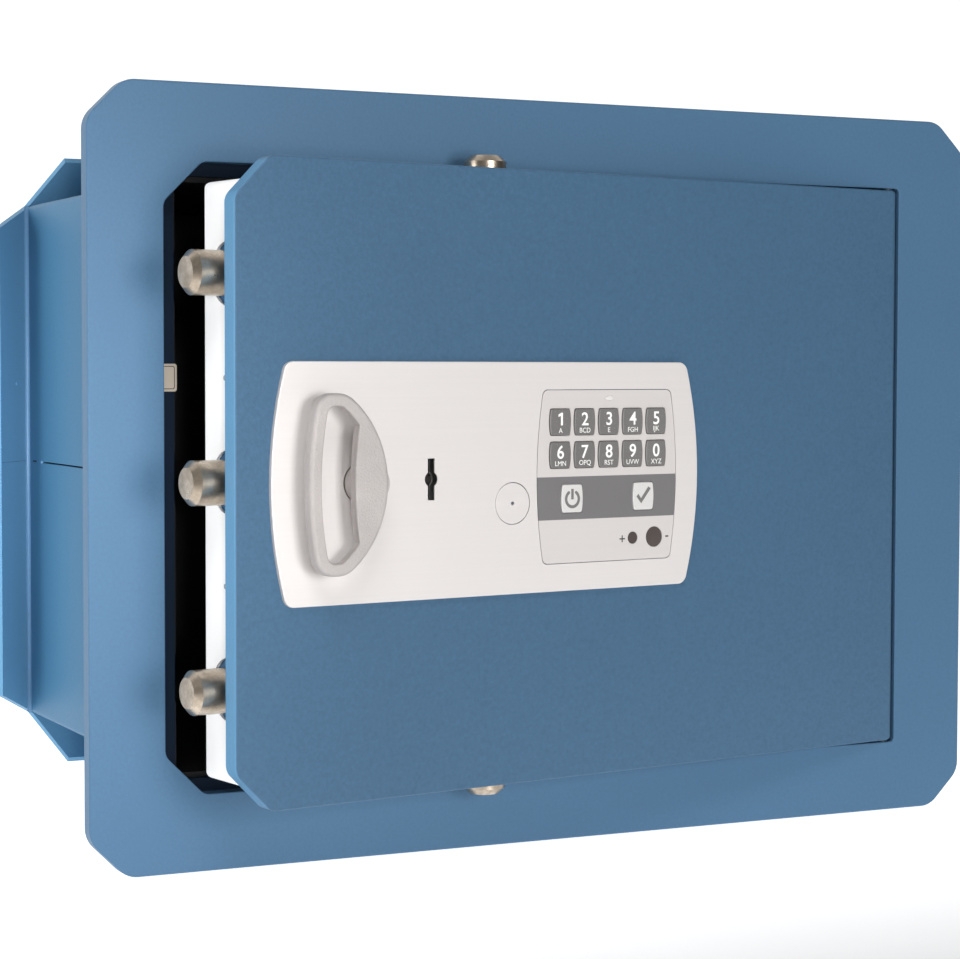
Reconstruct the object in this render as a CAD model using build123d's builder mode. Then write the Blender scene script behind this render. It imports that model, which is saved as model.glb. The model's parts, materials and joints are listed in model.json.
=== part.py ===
from build123d import *
import math
import os

# Wall safe with an electronic lock. Millimetres, X to the right, Y into the wall, Z up.
# The origin is the centre of the front flange on the wall plane, which is the flange's back face.
# Door pieces are modelled with the door shut and swung about the hinge when they are written.

os.makedirs("parts", exist_ok=True)

# ---------------------------------------------------------------- driving dimensions
FLANGE_W, FLANGE_H, FLANGE_T = 460.0, 348.0, 8.0
FLANGE_CUT, FLANGE_R = 17.0, 12.0
REBATE, REBATE_GAP = 0.1, 0.25
OPEN_X0, OPEN_X1, OPEN_H = -195.5, 190.0, 279.0
OPEN_CUT, OPEN_R, OPEN_NOSE_R = 18.0, 6.0, 2.2
STOP_T, STOP_SIDE, STOP_TOP = 3.0, 7.0, 6.0
STOP_X0, STOP_X1, STOP_H = -217.0, 200.0, 312.0
TUBE_INSET, WALL, TUBE_REAR = 5.5, 3.0, 242.0
SEAM_GAP, SEAM_OPEN_TO = 0.8, 212.0
FLAP_OUT, FLAP_FORWARD, FLAP_LENGTH, FLAP_CUT = 21.0, 25.5, 36.9, 13.5
FLAP_HOLES, FLAP_HOLE_R = ((18.1, 40.6), (18.1, -38.8)), 0.9
BACK_T, BACK_INSET = 3.0, 5.0

LEAF_T, LEAF_PROUD, LEAF_H, LEAF_CUT, LEAF_R = 8.5, 0.8, 277.0, 17.5, 7.0
LEAF_X0, HINGE_X = -190.75, 185.0
FRONT = -FLANGE_T - LEAF_PROUD
HINGE_Y = FRONT + LEAF_T / 2
PIN_R, PIN_IN_LEAF, PIN_IN_FLANGE, RUN = 2.5, 13.0, 12.0, 0.05
AJAR = 9.3

BOLT_R, BOLT_D = 9.7, 23.0
BOLT_TIP_LONG, BOLT_TIP_IN = 2.8, 3.0
SIDE_Z = (89.5, 0.5, -88.5)
SIDE_TIP, SIDE_END = -201.5, -158.0
TOP_X, TOP_TIP, TOP_END = -48.0, 145.7, 100.0
THROW = 15.0
BOLT_HOLE_R = 13.7

COVER_X0, COVER_X1, COVER_H, COVER_D, COVER_T = -181.5, 171.0, 258.4, 36.5, 1.5
COVER_R, TRAY_X, SCREW_HEAD_R, SCREW_R = 3.0, 101.0, 3.3, 1.9
GUIDE_X0, GUIDE_X1, GUIDE_HALF, GUIDE_D = -179.8, -169.0, 15.5, 40.0
GUIDE_Z0, GUIDE_Z1 = 112.0, 127.5

PANEL_X, PANEL_MID, PANEL_END, PANEL_H, PANEL_T, PANEL_R = -58.5, 116.0, 108.6, 104.4, 2.0, 5.0
INSET_X, INSET_MID, INSET_END, INSET_H, INSET_R = 3.8, 40.5, 37.0, 79.4, 3.0
KEY_X0, KEY_PITCH, KEY_ROWS, KEY_SIZE = -23.7, 13.9, (24.9, 9.9), 12.0
BAND_Z0, BAND_Z1 = -19.6, 0.0
BUTTONS = {"power_button": -16.9, "enter_button": 24.5}
BUTTON_Z, BUTTON_W, BUTTON_H = -10.0, 12.3, 12.8
KEY_TRAVEL, KEY_PROUD = 0.8, 0.6
CONTACTS = ((18.6, -29.3, 2.75), (31.3, -29.3, 4.7))
KEYHOLE_X, KEYHOLE_Z, KEYHOLE_W, KEYHOLE_H, KEYHOLE_R = -93.9, 0.6, 3.6, 18.4, 3.4
KEY_POCKET_R, KEY_LIP, TRIM_GAP = 10.9, 0.6, 0.3
CAP_X, CAP_Z, CAP_R = -50.0, -11.3, 9.6

SPINDLE_X, SPINDLE_Z, SPINDLE_R, SQUARE = -130.2, 0.0, 6.0, 8.0
HANDLE_FRONT, HANDLE_T, HUB_T, HUB_X, BOSS_R = -15.5, 6.0, 4.3, -20.0, 8.5
LOOP_LEFT, LOOP_LEFT_R, LOOP_RIGHT, LOOP_RIGHT_R, LOOP_H, LOOP_RIM = -33.1, 163.0, 6.0, 46.5, 77.4, 6.0
GAP_LEFT, GAP_LEFT_R, GAP_RIGHT, GAP_RIGHT_R, GAP_H = -27.5, 157.0, -10.9, 152.0, 66.6
CRANK_R, CRANK_D, CRANK_T, HANDLE_TURN = 13.2, 28.0, 3.5, 70.0
PLATE_D, PLATE_T, PLATE_X0, PLATE_X1, ARM_X1, ARM_H = 32.0, 3.0, -167.0, -155.0, -30.0, 90.0
FOLLOWER_R, FOLLOWER_Z, LINK_W, LINK_T = 3.0, 35.0, 12.0, 3.7
POSTS = ((-120.0, 36.0), (-120.0, -36.0), (-70.0, 0.0))
PLUNGER_X, PLUNGER_R, PLUNGER_Z, PLUNGER_TRAVEL = -86.0, 4.0, 47.0, 6.0


# ---------------------------------------------------------------- shared helpers
def sheet(y):
    """A sketch plane parallel to the front of the safe at depth y: local x is X, local y is Z."""
    return Plane.XZ.offset(-y)


def depth(d):
    """A sketch plane parallel to the door leaf, d behind the leaf's front face."""
    return Plane.XZ.offset(-(FRONT + d))


def keep(piece, name):
    piece.label = name
    export_step(piece, "parts/" + name + ".step")


def keep_on_door(piece, name):
    """Swings a piece of the closed door to its ajar rest position and writes it."""
    keep(piece.rotate(Axis((HINGE_X, HINGE_Y, 0), (0, 0, 1)), AJAR), name)


def cut_outline(x0, x1, half_h, cut_left, cut_right):
    """Rectangle with sloping corners on either side, as a closed line."""
    points = [
        (x0 + cut_left, -half_h),
        (x1 - cut_right, -half_h),
        (x1, -half_h + cut_right),
        (x1, half_h - cut_right),
        (x1 - cut_right, half_h),
        (x0 + cut_left, half_h),
        (x0, half_h - cut_left),
        (x0, -half_h + cut_left),
    ]
    if cut_right == 0:
        points = points[:2] + [(x1, half_h)] + points[5:]
    Polyline(*points, close=True)


def bowed_outline(x, mid, end, height):
    """Plate with straight top and bottom and ends bowed outwards."""
    h = height / 2
    Line((x - end, h), (x + end, h))
    ThreePointArc((x + end, h), (x + mid, 0), (x + end, -h))
    Line((x + end, -h), (x - end, -h))
    ThreePointArc((x - end, -h), (x - mid, 0), (x - end, h))


# ---------------------------------------------------------------- flange and door stop
with BuildPart() as front_flange:
    with BuildSketch(sheet(-FLANGE_T)):
        with BuildLine():
            cut_outline(-FLANGE_W / 2, FLANGE_W / 2, FLANGE_H / 2, FLANGE_CUT, FLANGE_CUT)
        make_face()
    extrude(amount=-FLANGE_T)
    fillet(front_flange.edges().filter_by(Axis.Y), FLANGE_R)
    fillet(front_flange.faces().sort_by(Axis.Y)[0].edges(), 1.0)
    with BuildSketch(sheet(-FLANGE_T)) as opening:
        with BuildLine():
            cut_outline(OPEN_X0, OPEN_X1, OPEN_H / 2, OPEN_CUT, 0)
        make_face()
        fillet(opening.vertices().sort_by(Axis.X)[-2:], OPEN_NOSE_R)
        fillet(opening.vertices().sort_by(Axis.X)[:4], OPEN_R)
    extrude(amount=-FLANGE_T, mode=Mode.SUBTRACT)
    mouth = front_flange.faces().sort_by(Axis.Y)[0].inner_wires()[0]
    fillet(mouth.edges(), 0.5)
    for top in (1, -1):
        with BuildSketch(Plane.XY.offset(top * (OPEN_H / 2 - 1))):
            with Locations((HINGE_X, HINGE_Y)):
                Circle(PIN_R + 0.02)
        extrude(amount=top * (PIN_IN_FLANGE + 1), mode=Mode.SUBTRACT)
    # shallow seat for the door stop frame, which leaves a plain ring that rests on the wall
    with BuildSketch(sheet(-REBATE)):
        with Locations(((STOP_X0 + STOP_X1) / 2, 0)):
            Rectangle(STOP_X1 - STOP_X0 + 2 * REBATE_GAP, STOP_H + 2 * REBATE_GAP)
    extrude(amount=-REBATE, mode=Mode.SUBTRACT)
keep(front_flange.part, "front_flange")

with BuildPart() as door_stop_frame:
    with BuildSketch(sheet(-REBATE)):
        with Locations(((STOP_X0 + STOP_X1) / 2, 0)):
            Rectangle(STOP_X1 - STOP_X0, STOP_H)
        with Locations(((OPEN_X0 + OPEN_X1) / 2, 0)):
            Rectangle(OPEN_X1 - OPEN_X0 - 2 * STOP_SIDE, OPEN_H - 2 * STOP_TOP, mode=Mode.SUBTRACT)
    extrude(amount=-(STOP_T + REBATE))
keep(door_stop_frame.part, "door_stop_frame")

for top, name in ((1, "upper_hinge_pin"), (-1, "lower_hinge_pin")):
    with BuildPart() as hinge_pin:
        with BuildSketch(Plane.XY.offset(top * (LEAF_H / 2 - PIN_IN_LEAF))):
            with Locations((HINGE_X, HINGE_Y)):
                Circle(PIN_R)
        extrude(amount=top * (PIN_IN_LEAF + PIN_IN_FLANGE))
    keep(hinge_pin.part, name)

with BuildPart() as door_contact_plate:
    with BuildSketch(sheet(-REBATE)):
        with Locations((OPEN_X0 + 4.4, 44.9)):
            RectangleRounded(7.8, 12.2, 1.2)
    extrude(amount=0.15)
keep(door_contact_plate.part, "door_contact_plate")

# ---------------------------------------------------------------- body shells
TUBE_X0, TUBE_X1 = OPEN_X0 + TUBE_INSET, OPEN_X1 - TUBE_INSET
TUBE_HALF = OPEN_H / 2 - TUBE_INSET
FLAP_TILT = math.atan2(FLAP_FORWARD, FLAP_OUT)


def flap_plane(side, at):
    """Plane of a rear flap: local x runs from the fold outwards and forwards."""
    along = -math.sin(FLAP_TILT)
    out = math.cos(FLAP_TILT)
    if side == "left":
        return Plane(origin=(at, TUBE_REAR, 0), x_dir=(-out, along, 0), z_dir=(-along, -out, 0))
    if side == "right":
        return Plane(origin=(at, TUBE_REAR, 0), x_dir=(out, along, 0), z_dir=(along, -out, 0))
    return Plane(origin=(0, TUBE_REAR, at), x_dir=(0, along, out), z_dir=(0, -out, along))


for half, name in ((1, "upper_body_shell"), (-1, "lower_body_shell")):
    with BuildPart() as shell:
        with BuildSketch(sheet(STOP_T)):
            with Locations(((TUBE_X0 + TUBE_X1) / 2, half * TUBE_HALF / 2)):
                Rectangle(TUBE_X1 - TUBE_X0, TUBE_HALF)
        extrude(amount=-(TUBE_REAR - STOP_T))
        corners = shell.edges().filter_by(Axis.Y).group_by(Axis.Z)[-1 if half > 0 else 0]
        fillet(corners, 3)
        with BuildSketch(sheet(STOP_T)):
            with Locations(((TUBE_X0 + TUBE_X1) / 2, half * (TUBE_HALF - WALL) / 2)):
                Rectangle(TUBE_X1 - TUBE_X0 - 2 * WALL, TUBE_HALF - WALL)
        extrude(amount=-(TUBE_REAR - STOP_T), mode=Mode.SUBTRACT)
        # the two halves meet only near the back; the rest of the seam stays open
        with BuildSketch(sheet(STOP_T)):
            with Locations(((TUBE_X0 + TUBE_X1) / 2, half * SEAM_GAP / 4)):
                Rectangle(TUBE_X1 - TUBE_X0 + 2, SEAM_GAP / 2)
        extrude(amount=-(SEAM_OPEN_TO - STOP_T), mode=Mode.SUBTRACT)
        # rear anchoring flaps with mitred ends
        for side, at, sign in (("left", TUBE_X0, -1), ("right", TUBE_X1, 1)):
            with BuildSketch(flap_plane(side, at)) as flap:
                with BuildLine():
                    top, low = TUBE_HALF, 0.0
                    away = FLAP_LENGTH
                    up = flap_plane(side, at).to_local_coords(Vector(at, TUBE_REAR, half * 10)).Y / 10
                    Polyline(
                        (0, up * low), (away, up * low), (away, up * (top - FLAP_CUT)), (0, up * top),
                        close=True,
                    )
                make_face()
                for out, z in FLAP_HOLES:
                    if side == "left" and z * half > 0:
                        with Locations((out, up * z)):
                            Circle(FLAP_HOLE_R, mode=Mode.SUBTRACT)
            extrude(amount=WALL)
        with BuildSketch(flap_plane("top", TUBE_HALF) if half > 0 else Plane(
                origin=(0, TUBE_REAR, -TUBE_HALF),
                x_dir=(0, -math.sin(FLAP_TILT), -math.cos(FLAP_TILT)),
                z_dir=(0, -math.cos(FLAP_TILT), math.sin(FLAP_TILT)))) as flap:
            with BuildLine():
                frame = flap.workplanes[0]
                turn = frame.to_local_coords(Vector(10, TUBE_REAR, half * TUBE_HALF)).Y / 10
                Polyline(
                    (0, turn * TUBE_X0),
                    (FLAP_LENGTH, turn * (TUBE_X0 + FLAP_CUT)),
                    (FLAP_LENGTH, turn * (TUBE_X1 - FLAP_CUT)),
                    (0, turn * TUBE_X1),
                    close=True,
                )
            make_face()
        extrude(amount=WALL)
        # entries for the thrown bolts
        for z in SIDE_Z:
            with Locations((TUBE_X0 + WALL / 2, FRONT + BOLT_D - 1, z)):
                Box(WALL + 4, 2 * BOLT_R + 6, 2 * BOLT_R + 2, mode=Mode.SUBTRACT)
        with Locations((TOP_X, FRONT + BOLT_D - 1, half * (TUBE_HALF - WALL / 2))):
            Box(2 * BOLT_R + 2, 2 * BOLT_R + 6, WALL + 4, mode=Mode.SUBTRACT)
    keep(shell.part, name)

with BuildPart() as back_plate:
    with BuildSketch(sheet(TUBE_REAR - BACK_INSET - BACK_T)):
        with Locations(((TUBE_X0 + TUBE_X1) / 2, 0)):
            Rectangle(TUBE_X1 - TUBE_X0 - 2 * WALL, 2 * (TUBE_HALF - WALL))
    extrude(amount=-BACK_T)
keep(back_plate.part, "back_plate")

# pressed pans behind the flange that close over the ends of the thrown bolts
PAN_T, PAN_DEEP = 2.0, 34.0
with BuildPart() as left_bolt_pan:
    with BuildSketch(sheet(STOP_T)):
        with Locations(((TUBE_X0 - 23) + 11.5, 0.5)):
            Rectangle(23, 216)
    extrude(amount=-PAN_DEEP)
    with BuildSketch(sheet(STOP_T)):
        with Locations(((TUBE_X0 - 23) + 11.5 + PAN_T, 0.5)):
            Rectangle(23, 216 - 2 * PAN_T)
    extrude(amount=-(PAN_DEEP - PAN_T), mode=Mode.SUBTRACT)
keep(left_bolt_pan.part, "left_bolt_pan")

for half, name in ((1, "top_bolt_pan"), (-1, "bottom_bolt_pan")):
    with BuildPart() as pan:
        with BuildSketch(sheet(STOP_T)):
            with Locations((TOP_X, half * (TUBE_HALF + 9))):
                Rectangle(40, 18)
        extrude(amount=-PAN_DEEP)
        with BuildSketch(sheet(STOP_T)):
            with Locations((TOP_X, half * (TUBE_HALF + 9 - PAN_T))):
                Rectangle(40 - 2 * PAN_T, 18)
        extrude(amount=-(PAN_DEEP - PAN_T), mode=Mode.SUBTRACT)
    keep(pan.part, name)

# ---------------------------------------------------------------- door leaf
with BuildPart() as door_leaf:
    with BuildSketch(depth(0)):
        with BuildLine():
            cut_outline(LEAF_X0, HINGE_X, LEAF_H / 2, LEAF_CUT, 0)
        make_face()
    extrude(amount=-LEAF_T)
    fillet(door_leaf.edges().filter_by(Axis.Y).sort_by(Axis.X)[:4], LEAF_R)
    rim = door_leaf.faces().sort_by(Axis.Y)[0].edges().sort_by(Axis.X)[:-1]
    fillet(rim, 0.9)
    # the hinge edge is a full round whose ends are eased, so that it turns in the opening's corners
    with BuildSketch(Plane(origin=(HINGE_X, HINGE_Y, 0), x_dir=(1, 0, 0), z_dir=(0, -1, 0))) as nose:
        with Locations((LEAF_T / 4, 0)):
            Rectangle(LEAF_T / 2, LEAF_H)
        fillet(nose.vertices().group_by(Axis.X)[-1], 1.7)
    revolve(axis=Axis((HINGE_X, HINGE_Y, 0), (0, 0, 1)))
    for half in (1, -1):
        with BuildSketch(Plane.XY.offset(half * (LEAF_H / 2 - PIN_IN_LEAF - 1))):
            with Locations((HINGE_X, HINGE_Y)):
                Circle(PIN_R + RUN)
        extrude(amount=half * (PIN_IN_LEAF + 1), mode=Mode.SUBTRACT)
    with BuildSketch(depth(0)):
        with Locations((INSET_X, 0.5)):
            RectangleRounded(74, 72, 3)
        with Locations((SPINDLE_X, SPINDLE_Z)):
            Circle(9.0)
        with Locations((KEYHOLE_X, KEYHOLE_Z)):
            Circle(11.0)
    extrude(amount=-LEAF_T, mode=Mode.SUBTRACT)
keep_on_door(door_leaf.part, "door_leaf")

# ---------------------------------------------------------------- mechanism cover
COVER_X = (COVER_X0 + COVER_X1) / 2
with BuildPart() as mechanism_cover:
    with BuildSketch(depth(LEAF_T)):
        with Locations((COVER_X, 0)):
            Rectangle(COVER_X1 - COVER_X0, COVER_H)
    extrude(amount=-COVER_D)
    fillet(mechanism_cover.edges().filter_by(Axis.Y), COVER_R)
    fillet(mechanism_cover.faces().sort_by(Axis.Y)[-1].edges(), COVER_R)
    with BuildSketch(depth(LEAF_T)):
        with Locations((COVER_X, 0)):
            RectangleRounded(COVER_X1 - COVER_X0 - 2 * COVER_T, COVER_H - 2 * COVER_T, 1.5)
    extrude(amount=-(COVER_D - COVER_T), mode=Mode.SUBTRACT)
    for z in SIDE_Z:
        with Locations(Location((COVER_X0, FRONT + BOLT_D, z), (0, 90, 0))):
            Cylinder(BOLT_HOLE_R, 4 * COVER_T, mode=Mode.SUBTRACT)
    for half in (1, -1):
        with Locations((TOP_X, FRONT + BOLT_D, half * COVER_H / 2)):
            Cylinder(BOLT_HOLE_R, 4 * COVER_T, mode=Mode.SUBTRACT)
    for z in (45.0, -44.0):
        for x in (COVER_X0, COVER_X1):
            with Locations(Location((x, FRONT + BOLT_D, z), (0, 90, 0))):
                Cylinder(SCREW_R, 4 * COVER_T, mode=Mode.SUBTRACT)
    with BuildSketch(depth(LEAF_T + COVER_D)):
        with Locations((TRAY_X, 0)):
            RectangleRounded(54, 62, 3)
    extrude(amount=2 * COVER_T, mode=Mode.SUBTRACT)
keep_on_door(mechanism_cover.part, "mechanism_cover")

SCREW_SPOTS = []
for z in (45.0, -44.0):
    SCREW_SPOTS.append((COVER_X0, z, 1))
    SCREW_SPOTS.append((COVER_X1, z, -1))

with BuildPart() as cover_screws:
    for x, z, way in SCREW_SPOTS:
        with BuildSketch(Plane(origin=(x, FRONT + BOLT_D, z), z_dir=(-way, 0, 0))):
            Circle(SCREW_HEAD_R)
        extrude(amount=1.3)
        with BuildSketch(Plane(origin=(x, FRONT + BOLT_D, z), z_dir=(way, 0, 0))):
            Circle(SCREW_R)
        extrude(amount=6)
    fillet(cover_screws.faces().filter_by(Axis.X).group_by(Axis.X)[0].edges(), 0.7)
    fillet(cover_screws.faces().filter_by(Axis.X).group_by(Axis.X)[-1].edges(), 0.7)
keep_on_door(cover_screws.part, "cover_screws")

with BuildPart() as cover_brackets:
    for x, z, way in SCREW_SPOTS:
        inner = x + way * (COVER_T + 1)
        with Locations((inner, FRONT + LEAF_T + 12, z)):
            Box(2, 24, 14)
        with Locations((inner + way * 5, FRONT + LEAF_T + 1, z)):
            Box(10, 2, 14)
        with Locations(Location((x, FRONT + BOLT_D, z), (0, 90, 0))):
            Cylinder(SCREW_R, 20, mode=Mode.SUBTRACT)
keep_on_door(cover_brackets.part, "cover_brackets")

# ---------------------------------------------------------------- lock panel and its fittings
with BuildPart() as lock_panel:
    with BuildSketch(depth(0)) as outline:
        with BuildLine():
            bowed_outline(PANEL_X, PANEL_MID, PANEL_END, PANEL_H)
        make_face()
        fillet(outline.vertices(), PANEL_R)
    extrude(amount=PANEL_T)
    fillet(lock_panel.faces().sort_by(Axis.Y)[0].edges(), 0.5)
    with BuildSketch(depth(0)) as window:
        with BuildLine():
            bowed_outline(INSET_X, INSET_MID, INSET_END, INSET_H)
        make_face()
        fillet(window.vertices(), INSET_R)
    extrude(amount=PANEL_T, mode=Mode.SUBTRACT)
    with BuildSketch(depth(0)):
        with Locations((SPINDLE_X, SPINDLE_Z)):
            Circle(BOSS_R + 0.3)
        with Locations((CAP_X, CAP_Z)):
            Circle(CAP_R)
        with Locations((KEYHOLE_X, KEYHOLE_Z)):
            Rectangle(KEYHOLE_W, KEYHOLE_H)
            Circle(KEYHOLE_R)
    extrude(amount=PANEL_T, mode=Mode.SUBTRACT)
    # relieved behind, so that only a thin lip stands round the keyhole
    with BuildSketch(depth(0)):
        with Locations((KEYHOLE_X, KEYHOLE_Z)):
            Circle(KEY_POCKET_R)
    extrude(amount=PANEL_T - KEY_LIP, mode=Mode.SUBTRACT)
keep_on_door(lock_panel.part, "lock_panel")

with BuildPart() as inspection_cap:
    with BuildSketch(depth(0)):
        with Locations((CAP_X, CAP_Z)):
            Circle(CAP_R - TRIM_GAP)
            Circle(0.9, mode=Mode.SUBTRACT)
    extrude(amount=PANEL_T)
    rim = inspection_cap.faces().sort_by(Axis.Y)[0].edges().sort_by(SortBy.LENGTH)[-1]
    fillet(rim, 0.3)
keep_on_door(inspection_cap.part, "inspection_cap")

with BuildPart() as spindle_bush:
    with BuildSketch(depth(LEAF_T)):
        with Locations((SPINDLE_X, SPINDLE_Z)):
            Circle(9.0)
            Circle(SPINDLE_R + RUN, mode=Mode.SUBTRACT)
    extrude(amount=LEAF_T)
keep_on_door(spindle_bush.part, "spindle_bush")

KEY_SPOTS = []
for row in KEY_ROWS:
    for column in range(5):
        KEY_SPOTS.append((KEY_X0 + column * KEY_PITCH, row))
DIGITS = "1234567890"


def key_outline(width, height, grow):
    """A key's front: straight top and bottom, sides bowed slightly outwards."""
    w, h = width / 2 + grow, height / 2 + grow
    bow = 0.7
    Line((-w + bow, h), (w - bow, h))
    ThreePointArc((w - bow, h), (w, 0), (w - bow, -h))
    Line((w - bow, -h), (-w + bow, -h))
    ThreePointArc((-w + bow, -h), (-w, 0), (-w + bow, h))


BASE_GROW, BASE_D, BASE_T = 0.6, 0.3, 1.0
FACE_T = 2.0

with BuildPart() as keypad_face:
    with BuildSketch(depth(0)) as inset:
        with BuildLine():
            bowed_outline(INSET_X, INSET_MID - TRIM_GAP, INSET_END - TRIM_GAP, INSET_H - 2 * TRIM_GAP)
        make_face()
        fillet(inset.vertices(), INSET_R)
    extrude(amount=FACE_T)
    for x, z in KEY_SPOTS:
        with BuildSketch(Plane(origin=(x, FRONT, z), x_dir=(1, 0, 0), z_dir=(0, -1, 0))) as hole:
            with BuildLine():
                key_outline(KEY_SIZE, KEY_SIZE, 0.25)
            make_face()
            fillet(hole.vertices(), 1.2)
        extrude(amount=FACE_T, mode=Mode.SUBTRACT)
    for x in BUTTONS.values():
        with BuildSketch(Plane(origin=(x, FRONT, BUTTON_Z), x_dir=(1, 0, 0), z_dir=(0, -1, 0))) as hole:
            with BuildLine():
                key_outline(BUTTON_W, BUTTON_H, 0.25)
            make_face()
            fillet(hole.vertices(), 1.2)
        extrude(amount=FACE_T, mode=Mode.SUBTRACT)
    with BuildSketch(depth(-FACE_T)):
        with Locations((INSET_X, (BAND_Z0 + BAND_Z1) / 2)):
            Rectangle(2 * INSET_MID + 4, BAND_Z1 - BAND_Z0)
    extrude(amount=-0.6, mode=Mode.SUBTRACT)
    with BuildSketch(depth(-FACE_T)):
        for x, z, r in CONTACTS:
            with Locations((x, z)):
                Circle(r + 0.15)
        with Locations((4.4, 35.6)):
            Ellipse(2.4, 1.1)
    extrude(amount=-1.2, mode=Mode.SUBTRACT)
keep_on_door(keypad_face.part, "keypad_face")

with BuildPart() as control_band:
    with BuildSketch(depth(-FACE_T + 0.6)) as band:
        with BuildLine():
            bowed_outline(INSET_X, INSET_MID - TRIM_GAP, INSET_END - TRIM_GAP, INSET_H - 2 * TRIM_GAP)
        make_face()
        with Locations((INSET_X, (BAND_Z0 + BAND_Z1) / 2)):
            Rectangle(2 * INSET_MID + 4, BAND_Z1 - BAND_Z0, mode=Mode.INTERSECT)
    extrude(amount=0.6)
    for x in BUTTONS.values():
        with BuildSketch(Plane(origin=(x, FRONT, BUTTON_Z), x_dir=(1, 0, 0), z_dir=(0, -1, 0))) as hole:
            with BuildLine():
                key_outline(BUTTON_W, BUTTON_H, 0.25)
            make_face()
            fillet(hole.vertices(), 1.2)
        extrude(amount=FACE_T + 1, mode=Mode.SUBTRACT)
keep_on_door(control_band.part, "control_band")

with BuildPart() as status_light:
    with BuildSketch(depth(-FACE_T + 1.2)):
        with Locations((4.4, 35.6)):
            Ellipse(2.3, 1.0)
    extrude(amount=1.25)
keep_on_door(status_light.part, "status_light")

with BuildPart() as battery_contacts:
    with BuildSketch(depth(-FACE_T + 1.2)):
        for x, z, r in CONTACTS:
            with Locations((x, z)):
                Circle(r)
    extrude(amount=1.0)
keep_on_door(battery_contacts.part, "battery_contacts")


def make_key(x, z, width, height, name):
    """A key: raised cap with rounded edges on a wider base that stops behind the keypad face."""
    with BuildPart() as key:
        with BuildSketch(Plane(origin=(x, FRONT + BASE_D, z), x_dir=(1, 0, 0), z_dir=(0, -1, 0))) as cap:
            with BuildLine():
                key_outline(width, height, 0)
            make_face()
            fillet(cap.vertices(), 1.1)
        extrude(amount=BASE_D + FACE_T + KEY_PROUD)
        fillet(key.faces().sort_by(Axis.Y)[0].edges(), 0.5)
        with BuildSketch(Plane(origin=(x, FRONT + BASE_D, z), x_dir=(1, 0, 0), z_dir=(0, -1, 0))):
            RectangleRounded(width + 2 * BASE_GROW, height + 2 * BASE_GROW, 1.0)
        extrude(amount=-BASE_T)
    keep_on_door(key.part, name)


for digit, (x, z) in zip(DIGITS, KEY_SPOTS):
    make_key(x, z, KEY_SIZE, KEY_SIZE, "key_" + digit)
for name, x in BUTTONS.items():
    make_key(x, BUTTON_Z, BUTTON_W, BUTTON_H, name)

with BuildPart() as keypad_board:
    with BuildSketch(depth(3.6)):
        with Locations((INSET_X, 0.5)):
            RectangleRounded(73.4, 71.4, 2.7)
    extrude(amount=-1.6)
    with BuildSketch(depth(5.2)):
        with Locations((INSET_X - 10, 5)):
            Rectangle(14, 14)
        with Locations((INSET_X + 15, -18)):
            Rectangle(18, 8)
    extrude(amount=-2.4)
keep_on_door(keypad_board.part, "keypad_board")

# ---------------------------------------------------------------- handle and drive
HANDLE_PLANE = Plane(origin=(SPINDLE_X, FRONT + HANDLE_FRONT, SPINDLE_Z), x_dir=(1, 0, 0), z_dir=(0, -1, 0))
with BuildPart() as handle:
    with BuildSketch(HANDLE_PLANE) as loop:
        with Locations((LOOP_RIGHT - LOOP_RIGHT_R, 0)):
            Circle(LOOP_RIGHT_R)
        with Locations((LOOP_LEFT + LOOP_LEFT_R, 0)):
            Circle(LOOP_LEFT_R, mode=Mode.INTERSECT)
        with Locations((LOOP_LEFT / 2, 0)):
            Rectangle(80, LOOP_H, mode=Mode.INTERSECT)
        fillet(loop.vertices().sort_by(Axis.X)[2:4], 12)
        fillet(loop.vertices().sort_by(Axis.X)[:2], 9)
    extrude(amount=-HANDLE_T)
    fillet(handle.faces().sort_by(Axis.Y)[0].edges(), 1.8)
    fillet(handle.faces().sort_by(Axis.Y)[-1].edges(), 0.8)
    with BuildSketch(HANDLE_PLANE) as finger_gap:
        with Locations((GAP_LEFT + GAP_LEFT_R, 0)):
            Circle(GAP_LEFT_R)
        with Locations((LOOP_RIGHT - LOOP_RIGHT_R, 0)):
            Circle(LOOP_RIGHT_R - LOOP_RIM, mode=Mode.INTERSECT)
        with Locations((GAP_LEFT, 0)):
            Rectangle(80, GAP_H, mode=Mode.INTERSECT)
        with Locations((GAP_RIGHT + GAP_RIGHT_R, 0)):
            Circle(GAP_RIGHT_R, mode=Mode.SUBTRACT)
        fillet(finger_gap.vertices().sort_by(Axis.X)[-2:], 2)
        fillet(finger_gap.vertices().sort_by(Axis.X)[2:4], 3)
        fillet(finger_gap.vertices().sort_by(Axis.X)[:2], 4)
    extrude(amount=-HANDLE_T, mode=Mode.SUBTRACT)
    for face in (handle.faces().sort_by(Axis.Y)[0], handle.faces().sort_by(Axis.Y)[-1]):
        fillet(face.inner_wires()[0].edges(), 0.8)
    # the hub side of the loop is thinner than the limb that the fingers go round
    with BuildSketch(depth(HANDLE_FRONT + HUB_T)):
        with Locations((SPINDLE_X + HUB_X + 20, SPINDLE_Z)):
            Rectangle(40, 2 * LOOP_H)
    extrude(amount=-HANDLE_T, mode=Mode.SUBTRACT)
    with BuildSketch(depth(HANDLE_FRONT + HUB_T - 0.6)):
        with Locations((SPINDLE_X, SPINDLE_Z)):
            Circle(BOSS_R)
    extrude(amount=-(0.6 - HANDLE_FRONT - HUB_T - PANEL_T - 0.4))
    with BuildSketch(depth(-PANEL_T - 0.4)):
        with Locations((SPINDLE_X, SPINDLE_Z)):
            Rectangle(SQUARE, SQUARE)
    extrude(amount=8, mode=Mode.SUBTRACT)
keep_on_door(handle.part, "handle")

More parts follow.
